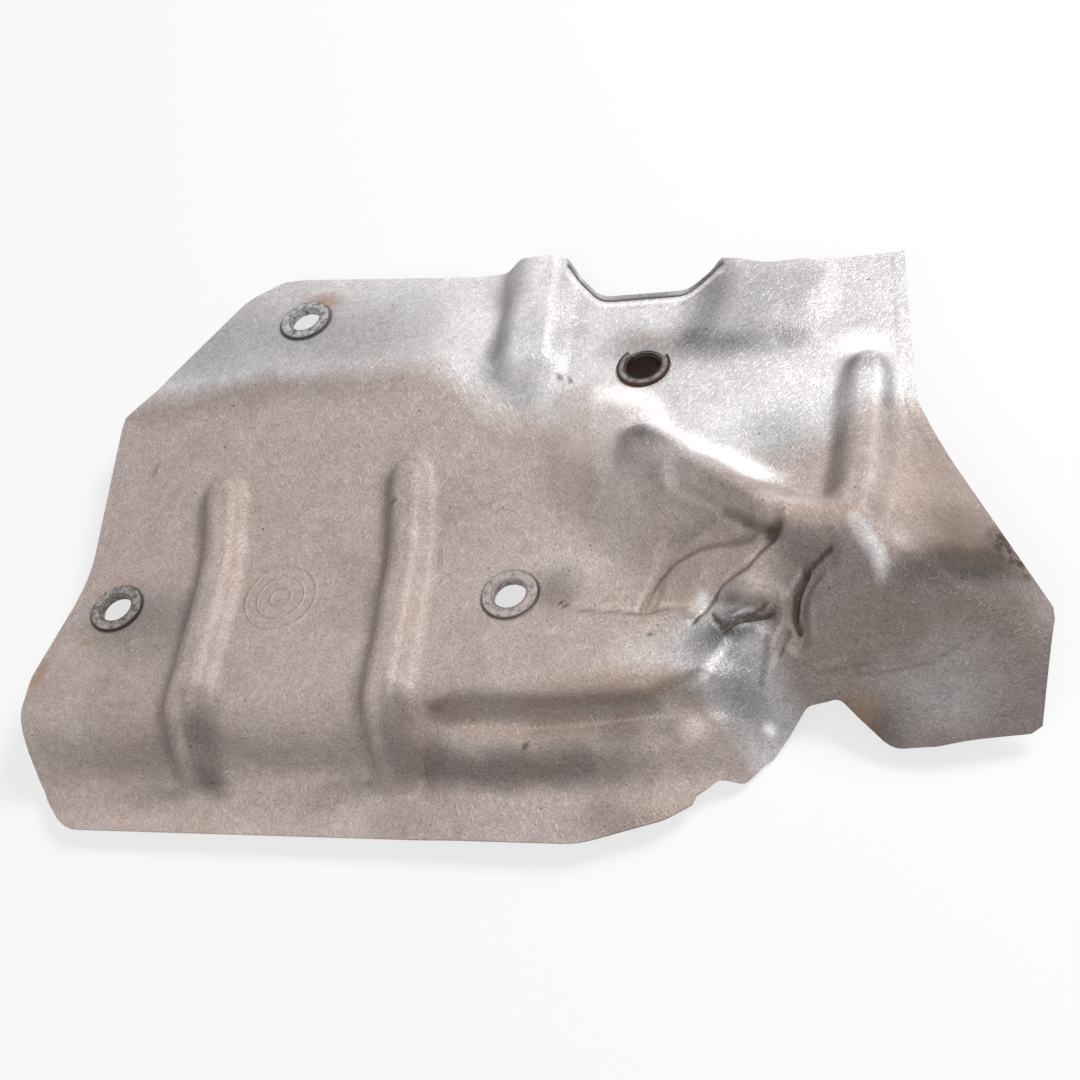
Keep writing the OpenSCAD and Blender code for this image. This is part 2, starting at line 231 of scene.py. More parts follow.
# Creases and dents of the blow: path, width and depth
CREASES = (
    (((50, 21), (59, 13), (66.5, 6.8), (75.2, -0.4)), 8, 2.4),
    (((76, 0), (69, -1), (61, -4), (56, -9)), 9, 2.2),
    (((64, 10), (54, 8), (45, 5), (40, -7)), 7, 1.2),
    (((58, -10), (66, -12), (73, -15)), 10, 2.6),
    (((90, -7), (84, -10), (81, -15), (80.5, -20)), 9, 2.4),
    (((39, 41), (40, 41)), 11, 1.6),
    (((70, -34), (70, -42)), 7, 1.2))


def left_form(x, y, wrap):
    """Deck, slope, plateau, nose and lip. Right of the left beads the nose falls in two steps."""
    two_steps = ease((x + 26) / 10)
    out = y + wrap
    one_fall = fall(out, -NOSE_Y, -NOSE_Y - 7.5, NOSE_DROP, 8, 3)
    two_falls = (fall(out, -NOSE_Y + 4.5, -NOSE_Y + 0.5, NOSE_DROP * 0.4, 4, 2)
                 + fall(out, -NOSE_Y - 6, -NOSE_Y - 13, NOSE_DROP * 0.6, 5, 3))
    return (fall(y, DECK_BEND_Y, PLATEAU_BEND_Y, PLATEAU_DROP, BEND_ROUND, BEND_ROUND)
            + mix(one_fall, two_falls, two_steps)
            - LIP_SLOPE * ramp(-NOSE_Y - 10 - 3 * two_steps - y, 3))


def right_form(x, y):
    """The bowl, and the shoulder that falls away beyond the ridge."""
    bowl = smooth_look(x, BOWL_SLOPES) * ramp(smooth_look(x, BOWL_LINE) - y, 8)
    shoulder = SHOULDER_SLOPE * ramp(x - 111, 10) * ease((50 - y) / 20)
    return -larger(bowl, shoulder)


def scarp_share(x, y):
    """0 left of the scarp and 1 right of it."""
    w = look(y, SCARP_WIDTHS)
    d = x - look(y, SCARP_LINE)
    return (ramp(d + w / 2, w / 4) - ramp(d - w / 2, w / 4)) / w


def top_z(x, y):
    beads = (bead(x, y, OUTER_PATH, BEAD_W, BEAD_CREST, 1)
             + bead(x, y, INNER_PATH, BEAD_W, BEAD_CREST, 1))
    z = mix(left_form(x, y, beads * BEAD_WRAP), right_form(x, y), scarp_share(x, y))
    z = z + beads * BEAD_H
    z = z + bead(x, y, FAR_PATH, FAR_BEAD_W, FAR_BEAD_W / 3, FAR_BEAD_H)
    z = z + bead(x, y, RIDGE_PATH, RIDGE_W, RIDGE_CREST, RIDGE_H)
    z = z + bead(x, y, PANEL_PATH, PANEL_W, PANEL_CREST, PANEL_H)
    z = z - np.max([bead(x, y, path, w, DENT_FLOOR, d) for path, w, d in CREASES], axis=0)
    for hx, hy, hz in HOLES:
        from_hole = np.hypot(x - hx, y - hy)
        z = mix(z, hz, ease((PAD_FLAT + PAD_BLEND - from_hole) / PAD_BLEND))
    from_far = look(x, far_edge) - y
    set_down = ease((NOTCH_LIP - from_far) / SET_DOWN_BLEND)
    return z - NOTCH_SET * set_down * ease((NOTCH_W / 2 + 1 - np.abs(x - NOTCH_X)) / 4)


# Folds of the crumple that are finer than the pressed form: path, width and depth. Where the
# depth is below zero, the sheet stands up.
FOLD_FLOOR = 0.4                 # width of a fold's floor
FOLDS = (
    (((78, -1.5), (72.7, -2.3), (69, -5), (61, -6), (56.7, -9), (53, -13.5)), 3.6, 1.0),
    (((74, 0.5), (63, 1.5), (56, 2.7), (49, 2.6), (43.3, 1.3), (40.3, -2.5), (38.3, -8)), 3, 0.6),
    (((47, 8), (56.4, 7), (70, 3)), 6, 0.7),
    (((16, -5.9), (27, -7.5), (38, -9), (44, -8)), 2.6, 0.35),
    (((58.3, -13.2), (61, -17.4), (63.8, -16), (68.3, -14.5), (74.5, -14.5)), 2.4, 1.0),
    (((62.4, -9.3), (67.2, -11.5), (72.4, -13.7)), 4.4, 0.7),
    (((91.4, -6.6), (84.4, -8.6)), 2, 0.7),
    (((84.4, -8.6), (81.2, -12.4), (80.1, -16.3), (81.1, -18.3)), 2.4, 1.5),
    (((78.5, -18.8), (75.5, -22.3)), 2.6, 0.6),
    (((84.7, -26.8), (92.7, -26.5), (98.6, -26.8)), 2.6, 0.4),
    (((94, -28.1), (104.2, -29.4), (112.8, -29.8), (120.4, -28.1)), 2.6, 0.35),
    (((120.4, -28.1), (124.8, -31.3)), 2.4, 0.25),
    (((76, -4.5), (69, -8), (63, -9)), 4, -0.7),
    (((60, -0.2), (50, 0.2), (45, -1.5)), 4.5, -0.6),
    (((65.6, -13.2), (71, -13.2)), 2.4, -0.6),
    (((83.8, -20), (84.2, -14), (89, -10.5)), 4, -0.7),
    (((40, -11.5), (51, -11)), 4, -0.5))


def folded_z(x, y):
    z = top_z(x, y)
    for path, width, depth in FOLDS:
        z = z - bead(x, y, path, width, FOLD_FLOOR, depth)
    return z


# Grid of the sheet: columns stand between guide lines, rows follow the near and far edges

OUTER_GUIDE_X, INNER_GUIDE_X = -101.3, -25.0
STEP_LINE = ((-70, 66), (-30, 66), (-15, 72), (0, 78), (8, 74), (17, 64), (26, 54), (34, 44),
             (50, 26), (66, 17), (78, 14), (far_mid_y, 14.5), (130, 14.5))
FOOT_LINE = ((-70, 96), (-10, 93), (12, 90), (54, 94), (130, 94))
NEAR_GUIDE_Y, FAR_GUIDE_Y = -60, 125
COLUMN_CELLS = (18, 46, 68, 60, 32)
CROWDED_ZONE, CROWDING = 2, 0.85  # the columns that stand closer toward their right end
ROW_CELLS = (38, 64, 34)
NOSE_ROWS_END, SLOPE_ROWS_END = -NOSE_Y + 8, 42
LIP_BAND, LIP_CELLS = 4.4, 8     # the rows along the far edge
CRUMPLE = (34, 100, -32, 14)     # X and Y of the region with a finer grid
HOLE_RADII = (5.6, 5.6, 5.6, 5.9)
HOLE_EDGE_REACH = 2              # how far the cut edge of a hole may stand off its round
SHARP_ANGLE = 50                 # edges sharper than this, in degrees, stay sharp


def row_places(near, far):
    """Places along Y from the near edge to the far edge, dense at the nose and the lip."""
    nose_end = np.maximum(NOSE_ROWS_END, near + 14)
    slope_end = np.minimum(SLOPE_ROWS_END, mix(near, far, 0.62))
    bounds = (near, nose_end, slope_end, far - LIP_BAND)
    places = [mix(start, end, k / cells)
              for start, end, cells in zip(bounds[:-1], bounds[1:], ROW_CELLS)
              for k in range(cells)]
    lip = [far - LIP_BAND * (1 - k / LIP_CELLS) for k in range(LIP_CELLS + 1)]
    return np.array(places + lip)


def column_x(zone, share, y, left_x, right_x):
    """X of a column that stands at a share of the way between two guide lines."""
    guides = (left_x, OUTER_GUIDE_X, INNER_GUIDE_X, look(y, STEP_LINE), look(y, FOOT_LINE),
              right_x)
    return mix(guides[zone], guides[zone + 1], share)


def sheet_plan():
    """X and Y of every grid point, as arrays of columns and rows."""
    left_x = look(row_places(near_left[1], far_left[1]), left_edge)
    right_x = look(row_places(near_right[1], far_right[1]), right_edge)
    columns = [(zone, k / cells)
               for zone, cells in enumerate(COLUMN_CELLS) for k in range(cells)]
    columns.append((len(COLUMN_CELLS) - 1, 1.0))
    xs, ys = [], []
    for zone, share in columns:
        if zone == CROWDED_ZONE:
            share = share ** CROWDING
        near_x = column_x(zone, share, NEAR_GUIDE_Y, left_x[0], right_x[0])
        far_x = column_x(zone, share, FAR_GUIDE_Y, left_x[-1], right_x[-1])
        y = row_places(look(near_x, near_edge), look(far_x, far_edge))
        ys.append(y)
        xs.append(np.broadcast_to(column_x(zone, share, y, left_x, right_x), y.shape))
    return np.array(xs), np.array(ys)


def finish_mesh(name, mesh):
    piece = bpy.data.objects.new(name, mesh)
    bpy.context.scene.collection.objects.link(piece)
    return piece


def refine_crumple(bm):
    """Halve the cells of the crumple."""
    x0, x1, y0, y1 = CRUMPLE
    fine = [edge for edge in bm.edges
            if all(x0 < v.co.x < x1 and y0 < v.co.y < y1 for v in edge.verts)]
    bmesh.ops.subdivide_edges(bm, edges=fine, cuts=1, use_grid_fill=True)


def cut_round_holes(bm):
    """Cells inside a hole go, and the edge that is left moves onto the round."""
    for (hx, hy, _), radius in zip(HOLES, HOLE_RADII):
        middles = {face: face.calc_center_median() for face in bm.faces}
        gone = [face for face, at in middles.items() if math.hypot(at.x - hx, at.y - hy) < radius]
        bmesh.ops.delete(bm, geom=gone, context="FACES")
        for v in bm.verts:
            d = math.hypot(v.co.x - hx, v.co.y - hy)
            if d < radius + HOLE_EDGE_REACH and v.is_boundary:
                v.co.x = hx + (v.co.x - hx) * radius / d
                v.co.y = hy + (v.co.y - hy) * radius / d


def keep_press_place(bm):
    """Each point keeps its X and Y of the press frame, for the paint."""
    press_x = bm.verts.layers.float.new("press_x")
    press_y = bm.verts.layers.float.new("press_y")
    for v in bm.verts:
        v[press_x], v[press_y] = v.co.x, v.co.y


def make_sheet():
    """The pressed sheet: a flat grid that is bent into the pressed form."""
    columns = sum(COLUMN_CELLS)
    rows = sum(ROW_CELLS) + LIP_CELLS
    bm = bmesh.new()
    bmesh.ops.create_grid(bm, x_segments=columns, y_segments=rows, size=0.5)
    xs, ys = sheet_plan()
    for v in bm.verts:
        i = round((v.co.x + 0.5) * columns)
        k = round((v.co.y + 0.5) * rows)
        v.co = (xs[i, k], ys[i, k], 0)
    refine_crumple(bm)
    heights = folded_z(*np.array([v.co.xy for v in bm.verts]).T)
    for v, z in zip(bm.verts, heights):
        v.co.z = z
    cut_round_holes(bm)
    keep_press_place(bm)
    if sum(f.normal.z for f in bm.faces) < 0:
        bmesh.ops.reverse_faces(bm, faces=bm.faces)
    bmesh.ops.solidify(bm, geom=bm.faces[:], thickness=SHEET_T)
    low, high = (np.array(corner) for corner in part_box("shield_sheet"))
    placed = to_row([v.co for v in bm.verts])
    for v, p in zip(bm.verts, np.clip(placed, low, high)):
        v.co = p
    mesh = bpy.data.meshes.new("pressed_sheet")
    bm.to_mesh(mesh)
    bm.free()
    mesh.shade_smooth()
    mesh.set_sharp_from_angle(angle=math.radians(SHARP_ANGLE))
    paint(mesh, values_of(mesh, "press_x"), values_of(mesh, "press_y"))
    return finish_mesh("pressed_sheet", mesh)


def values_of(mesh, name):
    values = np.zeros(len(mesh.vertices), np.float32)
    mesh.attributes[name].data.foreach_get("value", values)
    return values


# Paint: soft regions of tint, painted shade and painted highlights, rust and scorching, kept as
# attributes of the sheet. A row is an oval, by its middle and two radii, or a line, by its path
# and width, and then its strength.

COOL_LINE = ((-150, 63), (-30, 62), (0, 54), (150, 54))
# Where the painted shade of the bowl and the wing begins
SHADE_LINE = ((60, 0), (80, 0), (98, -5), (108, -7), (118, -6), (130, -6), (140, -10))
# How silver the scale is
SILVER = (
    # Deck and the bead at its far edge
    ("oval", (5, 66), (38, 26), 0.5),
    # Ridge, pocket and slope
    ("oval", (64, 48), (66, 46), 1.0),
    ("oval", (104, 62), (34, 36), 0.8),
    ("line", ((99, -3), (103, -12)), 9, 0.9),
    ("line", ((60, 28), (76, 15)), 12, 0.4),
    # Right edge and wing
    ("oval", (118, -34), (38, 16), 0.5),
    # Crumple
    ("oval", (70.4, -8), (6, 5), 0.25),
    ("oval", (77, -12.4), (3, 3), 0.45),
    ("oval", (54.6, -7.6), (3, 4), 0.45),
    ("oval", (65, -16.6), (5, 3), 0.5),
    # Near right corner
    ("line", ((60, -20), (72, -40)), 36, 0.9),
    # Plateau, slope and the two left beads
    ("oval", (44, -22), (38, 18), 0.3),
    ("oval", (-137, -10), (13, 15), 0.25),
    ("oval", (18, 10), (46, 28), 0.25),
    ("line", ((-93, 36), (-93, -28)), 9, 0.2),
    ("line", ((-32, 36), (-32, -30)), 9, 0.2))
# Lighter and darker than the tint round it: wide painted shade where the pressed form turns
# away from the light, painted highlights where it faces the light, and wide changes of tone
WIDE_TONE_AND_PAINTED_LIGHT = (
    # Deck and the bead at its far edge
    ("oval", (-100, 94), (50, 36), -0.42),
    ("oval", (-52, 92), (40, 28), -0.34),
    ("oval", (-18, 96), (14, 38), 0.2),
    ("line", ((-6, 128), (-6.6, 76)), 10, -0.25),
    ("line", ((-1, 128), (-2, 104), (-6, 72)), 15, -0.3),
    ("line", ((15, 122), (15, 80)), 9, -0.16),
    ("line", ((7, 124), (7, 92)), 10, 0.16),
    ("line", ((-8, 68), (2, 60), (15, 70), (18, 80)), 12, -0.28),
    ("oval", (4, 78), (14, 10), -0.15),
    ("line", ((-122, 68), (-104, 71), (-70, 71), (-36, 69)), 16, -0.12),
    # Right of the notch, and round the bush
    ("line", ((59, 99), (55, 78)), 22, -0.55),
    ("oval", (54, 68), (24, 12), -0.3),
    ("line", ((73, 88), (70, 72)), 36, -0.34),
    ("line", ((54, 70), (82, 66)), 17, -0.22),
    ("oval", (38, 93), (18, 7), -0.3),
    ("line", ((88, 92), (84, 68)), 15, -0.3),
    ("oval", (38, 72), (17, 13), -0.42),
    # Ridge, pocket and slope
    ("oval", (80, 30), (20, 18), -0.4),
    ("oval", (24, 41), (14, 16), 0.3),
    ("oval", (84, 51), (12, 9), 0.1),
    ("line", ((101.5, 46), (99, 14)), 10, -0.12),
    ("line", ((44, 40.5), (53.6, 32.5), (63, 25), (72, 17)), 11, 0.6),
    ("line", ((70, 19), (79, 12)), 8, 0.1),
    ("line", ((26, 54), (39, 50), (46, 42)), 11, 0.6),
    ("oval", (103, 62.5), (14, 8), 0.6),
    ("line", ((98, 53), (95.8, 38), (94, 24), (92.5, 10)), 9, -0.42),
    ("oval", (102, 52), (8, 6), -0.4),
    ("line", ((44, 32), (57, 20), (70, 9)), 11, -0.18),
    ("oval", (40, 35.5), (9, 6), -0.4),
    ("oval", (43, 32), (9, 6), -0.28),
    ("oval", (86, 4), (10, 5), 0.2),
    # Right edge and wing
    ("line", ((107.5, 53), (108.8, 38)), 6, -0.4),
    ("oval", (114, 28), (14, 28), -0.25),
    ("line", ((103, 4), (111, -4)), 12, -0.2),
    ("oval", (128, 12), (22, 32), -0.3),
    ("oval", (116, 2), (14, 12), -0.25),
    ("oval", (128, 0), (22, 12), -0.25),
    ("line", ((112, -12), (134, -21)), 16, -0.22),
    ("oval", (132, -8), (16, 12), -0.25),
    ("oval", (122, -9), (16, 11), -0.3),
    ("oval", (107, -8), (9, 7), 0.25),
    ("oval", (96, -38), (18, 8), -0.3),
    # Crumple
    ("oval", (66, -14), (12, 8), -0.4),
    ("oval", (56, -17), (18, 10), -0.35),
    ("oval", (70, -11), (8, 5), 0.5),
    # Near right corner
    ("oval", (63, -26), (22, 20), -0.62),
    ("oval", (70, -38), (16, 14), -0.25),
    ("oval", (80, -20), (6, 6), 0.25),
    # Plateau, slope and the two left beads
    ("oval", (8, 46), (12, 9), 0.14),
    ("line", ((-99, 38), (-99.5, -42)), 11, -0.3),
    ("line", ((-39, 38), (-39.5, -44)), 11, -0.32),
    ("oval", (-93, 38), (7, 5), -0.12),
    ("oval", (-33, 38), (7, 5), -0.15),
    ("oval", (-116, 0), (30, 20), -0.4),
    ("oval", (14, 1), (11, 13), -0.42),
    # Nose and near lip
    ("oval", (30, -34), (36, 6), -0.1),
    ("line", ((-24, -45.5), (20, -47.5)), 13, -0.36),
    ("line", ((-16, -46), (36, -49)), 14, -0.2),
    ("oval", (31, -62), (24, 8), -0.3),
    ("line", ((-141, -38.5), (-45, -40)), 9, -0.14),
    ("line", ((-87.5, -31), (-87.5, -36), (-89.5, -41), (-89.5, -47)), 14, -0.42),
    ("oval", (-90, -47), (7, 5), -0.15),
    ("line", ((-91.5, -33), (-94.5, -43)), 3, 0.2),
    ("line", ((-29, -35), (-31, -40), (-31.5, -47)), 13, -0.36),
    ("line", ((-37, -34), (-39, -45)), 8, 0.14),
    ("line", ((-98, -34), (-99, -44)), 8, 0.1),
    ("line", ((-32, -34), (-34.5, -43)), 3, 0.2),
    ("line", ((-134, -56), (-45, -60)), 18, 0.12))
# Lighter and darker than the tint round it: painted shade in folds, slits and grooves, painted
# highlights on their edges, and specks
FINE_MARKS_AND_PAINTED_LIGHT = (
    # Deck and the bead at its far edge
    ("line", ((14, 63), (18, 61)), 1.5, -0.6),
    # Ridge, pocket and slope
    ("line", ((91.4, -6.2), (84.4, -8.4)), 1.3, -0.5),
    ("line", ((100.2, 0), (103.6, -11.7)), 5.4, 0.1),
    ("oval", (103.4, -10), (2, 3), 0.3),
    # Right edge and wing
    ("line", ((84.7, -26), (92.7, -25.6)), 1.6, 0.15),
    ("line", ((84.7, -27.4), (98, -27.4)), 1.6, -0.15),
    ("line", ((94, -28.8), (104, -30), (113, -30.4), (120, -28.8)), 1.6, -0.15),
    ("line", ((112.3, 97), (111.8, 52), (113, 38), (118, 25)), 1.4, -0.22),
    # Crumple
    ("line", ((52, 18), (62, 9), (77, -1)), 6, -0.16),
    ("line", ((64, 7), (77, -1)), 3.4, -0.2),
    ("line", ((69, 3), (77, -1)), 2.4, -0.2),
    ("oval", (77.5, -1), (4, 3), -0.4),
    ("line", ((77, -3), (72.7, -3.4), (69, -6), (61, -7), (56.7, -10), (53, -14)), 2.2, -0.45),
    ("line", ((74, -1), (70, -3.5), (62, -5)), 1.6, 0.3),
    ("line", ((72, 0), (63, 1), (56, 2.4), (49, 2.2), (43.3, 0.8), (40, -3), (38, -8)), 2.2, -0.44),
    ("line", ((47, 7.5), (56.4, 7), (70, 3)), 7, -0.16),
    ("line", ((20, -6.9), (38, -9.6), (46, -9)), 2, -0.35),
    ("line", ((44, -7), (52, -9)), 2.2, 0.35),
    ("line", ((58.3, -12), (61, -17.4), (63.8, -16), (68.3, -14.7), (74, -14.3)), 1.5, -0.7),
    ("line", ((60, -9), (67.2, -10.8), (72, -12.4)), 3.4, -0.35),
    ("line", ((63.6, -13.6), (68, -12.4)), 1.2, 0.4),
    ("line", ((64, -15), (73.6, -12.6)), 1, -0.5),
    ("oval", (55, -7.4), (2.6, 3.4), 0.1),
    ("oval", (71, -8.4), (4, 3), 0.04),
    ("oval", (77, -12.6), (2.2, 2.6), 0.08),
    ("oval", (65.6, -16.6), (4, 1.6), 0.35),
    ("oval", (52, -11.6), (4, 3), -0.2),
    ("oval", (45, 6), (5, 5), 0.12),
    ("oval", (75.4, -5.6), (5, 3.4), 0.1),
    ("line", ((84.4, -8.6), (81.4, -12.4), (80.4, -16.3)), 1.6, -0.4),
    ("line", ((81.4, -12.6), (80.4, -16.3), (81.1, -18.8)), 3, -0.4),
    ("line", ((82.6, -8.4), (79, -12)), 1.8, 0.3),
    ("oval", (41.1, -16.6), (1.4, 1), -0.6),
    # Near right corner
    ("oval", (66, -21), (6, 4), 0.15),
    ("line", ((72.6, -20), (70, -29)), 3, -0.2),
    ("line", ((77, -20), (73, -25.4)), 2.4, 0.2),
    ("line", ((78.5, -18.8), (75.5, -23)), 2.2, -0.4),
    ("line", ((76, -18), (74, -21)), 2, 0.3),
    ("line", ((61.9, -20.4), (59, -24.7), (55.9, -30)), 4.6, 0.34),
    ("oval", (52, -41), (6, 4), 0.45),
    ("oval", (70.9, -37), (2.4, 2), 0.7),
    # Plateau, slope and the two left beads
    ("line", ((26, -5.8), (36, -7.4)), 1.8, 0.25),
    ("line", ((15.2, -3.9), (17.6, -5.6)), 1.3, -0.6),
    ("oval", (13.2, -13.5), (1.6, 1.4), 0.5),
    ("oval", (-115.2, -7.1), (2, 1.7), 0.5),
    ("oval", (-117.7, 49.5), (1.5, 1.5), -0.6),
    ("oval", (-37, 30.2), (1.5, 1.5), -0.6),
    # Nose and near lip
    ("line", ((-20, -33.6), (-14, -31.6), (14, -33), (40, -33), (56, -29)), 4, -0.24),
    ("line", ((-19, -34.6), (14, -35.6), (42, -35.4)), 8, -0.27),
    ("line", ((-24, -33), (14, -35), (50, -33)), 14, -0.12),
    ("line", ((10, -39), (48, -40)), 9, -0.26),
    ("line", ((33, -40), (28, -48), (25, -55)), 15, -0.2),
    ("line", ((-14, -37.6), (14, -38.8), (46, -37.4)), 1.5, 0.16),
    ("oval", (5.6, -42.8), (1.2, 1.2), -0.8))
# Orange rust
RUSTS = (
    # Deck and the bead at its far edge
    ("oval", (-69.5, 108.5), (11, 7), 1.0),
    # Right of the notch, and round the bush
    ("oval", (40, 74), (9, 7), 0.25),
    # Ridge, pocket and slope
    ("line", ((80, 1.5), (98, -1)), 8, 0.4),
    # Right edge and wing
    ("oval", (95, -36), (9, 6), 0.6),
    ("oval", (118, 6), (24, 26), 0.25),
    ("oval", (128, -4), (16, 10), 0.1),
    # Plateau, slope and the two left beads
    ("line", ((-144.9, -13), (-145.9, -20)), 5, 0.9),
    ("oval", (-132.3, -6.1), (3.4, 2.8), 0.8),
    ("oval", (-128, 13), (12, 6), 0.25),
    # Nose and near lip
    ("oval", (30, -30), (34, 5), 0.35),
    ("line", ((-10, -38.6), (24, -40)), 6, 0.3))
# Brown scorching
SCORCHES = (
    # Right edge and wing
    ("line", ((133, 1), (138.5, -9)), 8, 1.0),
    ("oval", (133, -5), (8, 8), 0.6),
    ("oval", (130, -7), (16, 9), 0.12),
    # Crumple
    ("line", ((58.3, -12), (61, -17.4), (63.8, -16), (68.3, -14.7), (75, -14.3)), 2.2, 0.55),
    ("line", ((62, -12.5), (67, -11.6), (72, -12.6)), 2, 0.35),
    ("line", ((84.4, -8.6), (81.4, -12.4), (80.4, -16.3), (81.1, -18.8)), 3, 0.3),
    ("line", ((77, -3), (69, -6), (61, -7), (53, -14)), 2, 0.2),
    ("oval", (77.5, -1), (5, 3), 0.35))
COOL_FADE = 26                   # the silver deck fades in over this width past COOL_LINE
BOWL_DARKNESS = 0.47
DARKEST = -0.9
SOFT_RIM = 0.9                   # share of an oval or a line over which it fades out
DIRT_FROM, MOST_DIRT = 0.2, 0.6  # lines darker than the first hold dirt, up to the second
DIRT_RUST, DIRT_SCORCH = 0.7, 0.5
# Bands along the step round the notch, a painted shadow line and a painted highlight: distance
# inward from the step, width and strength
STEP_BANDS = ((-1.7, 2.2, -0.8), (1.4, 3.2, 0.6))
# Painted shade on the set-down strip, which ends this far short of the step
STRIP_SHADE, STRIP_RIM = -0.3, 0.4


def oval_shade(x, y, middle, radii):
    """1 in the middle of an oval, falling softly to 0 at its rim."""
    off = np.hypot((x - middle[0]) / radii[0], (y - middle[1]) / radii[1])
    return ease((1 - off) / SOFT_RIM)


def line_shade(x, y, path, width):
    """1 on a path, falling softly to 0 at half its width."""
    return ease((width / 2 - off_path(x, y, path)) / (width / 2 * SOFT_RIM))


def band_shade(distance, width):
    return ease((width / 2 - np.abs(distance)) / (width / 2))


def shade_of(x, y, rows):
    total = np.zeros_like(x)
    for kind, at, size, strength in rows:
        shade = oval_shade if kind == "oval" else line_shade
        total += strength * shade(x, y, at, size)
    return total


def lip_shade(x, y):
    """Painted shadow line and highlight along the notch, and painted shade on its set-down strip.
    """
    from_far = look(x, far_edge) - y
    shade = sum(strength * band_shade(from_far - NOTCH_LIP - inward, width)
                for inward, width, strength in STEP_BANDS)
    shade = shade + STRIP_SHADE * (from_far < NOTCH_LIP - STRIP_RIM)
    return np.where(np.abs(x - NOTCH_X) < NOTCH_W / 2 + 1, shade, 0)


# Painted shade over the bowl and the wing, which face away from the light
def bowl_shade(x, y):
    return -BOWL_DARKNESS * ease((look(x, SHADE_LINE) + 3 - y) / 7) * ease((x - 70) / 12)


def paint(mesh, x, y):
    """Layers of tint, painted shade and painted highlights on the sheet's points, from the press
    frame.
    """
    # Between wide tints the borders waver by a millimetre
    wavy_x = x + 0.8 * np.sin(y / 5.3 + 1) + 0.6 * np.sin((x - y) / 3.7)
    wavy_y = y + 0.7 * np.sin(x / 9.1 + 2) + 0.5 * np.sin((x + y) / 3.1)
    cool = ease((wavy_y - look(x, COOL_LINE)) / COOL_FADE)
    # Fine marks, and the painted shade of folds and slits with painted highlights on their edges
    marks_and_painted_light = shade_of(x, y, FINE_MARKS_AND_PAINTED_LIGHT)
    dirt = np.clip(-DIRT_FROM - marks_and_painted_light, 0, MOST_DIRT)
    # Tone changes, and painted shade and painted highlights of the form, the notch and the bowl
    tone_and_painted_light = (shade_of(wavy_x, wavy_y, WIDE_TONE_AND_PAINTED_LIGHT) + marks_and_painted_light + lip_shade(x, y)
            + bowl_shade(x, wavy_y))
    layers = {
        "silver": np.clip(cool + shade_of(wavy_x, wavy_y, SILVER), 0, 1),
        "tone_and_painted_light": np.maximum(tone_and_painted_light, DARKEST),
        "rust": np.clip(shade_of(x, y, RUSTS) + DIRT_RUST * dirt, 0, 1),
        "scorch": np.clip(shade_of(x, y, SCORCHES) + DIRT_SCORCH * dirt, 0, 1)}
    for name, values in layers.items():
        layer = mesh.attributes.new(name, "FLOAT", "POINT")
        layer.data.foreach_set("value", values.astype(np.float32))


# Materials. A tint is a base colour, and steps are rows of place and tint along a pattern.
# Scales of patterns are in features per metre.

TAUPE = ((0.35, (0.36, 0.295, 0.275)), (0.5, (0.42, 0.355, 0.33)), (0.65, (0.40, 0.325, 0.29)))
BARE_SILVER = ((0.35, (0.58, 0.55, 0.545)), (0.65, (0.68, 0.665, 0.66)))
FROM_TAUPE_TO_SILVER = ((0.25, (0, 0, 0)), (0.75, (1, 1, 1)))
SPECKS = ((0.32, (0.8, 0.79, 0.78)), (0.5, (1, 1, 1)), (0.68, (1.2, 1.21, 1.22)))
PATCHES = ((0.3, (0.91, 0.91, 0.92)), (0.5, (1, 1, 1)), (0.7, (1.09, 1.09, 1.08)))
BLOTS = ((0.34, (0.965, 0.955, 0.965)), (0.66, (1.045, 1.035, 1.03)))
PITS = ((0.2, (0.4, 0.37, 0.36)), (0.225, (1, 1, 1)))
RUST_TINT = (0.33, 0.19, 0.1)
SCORCH_TINT = (0.045, 0.028, 0.021)
GRAIN_SCALE, MOTTLE_SCALE, BLOT_SCALE, PIT_SCALE, CLOUD_SCALE = 1500, 430, 170, 640, 28
# Two sets of fine scratches: turn in degrees, and scale along and across them
SCRATCHES = ((35, 330, 2300), (-62, 280, 2100))

# Three pressed circles on the left: their middle, and radius and half width of each line
CIRCLES_AT = (-71.4, 5.2)
CIRCLES = ((11.2, 0.7), (7.4, 0.6), (3.2, 0.6))
# Painted contact shadow, with dirt, round the flanges: hole, and radius and half width of its ring
FLANGE_DIRT_AND_SHADOW = (
    (UPPER_LEFT_HOLE, 8.6, 0.8),
    (LOWER_LEFT_HOLE, 8.5, 0.7),
    (CENTRE_HOLE, 8.5, 0.7),
    (BUSH_HOLE, 6.3, 0.7))

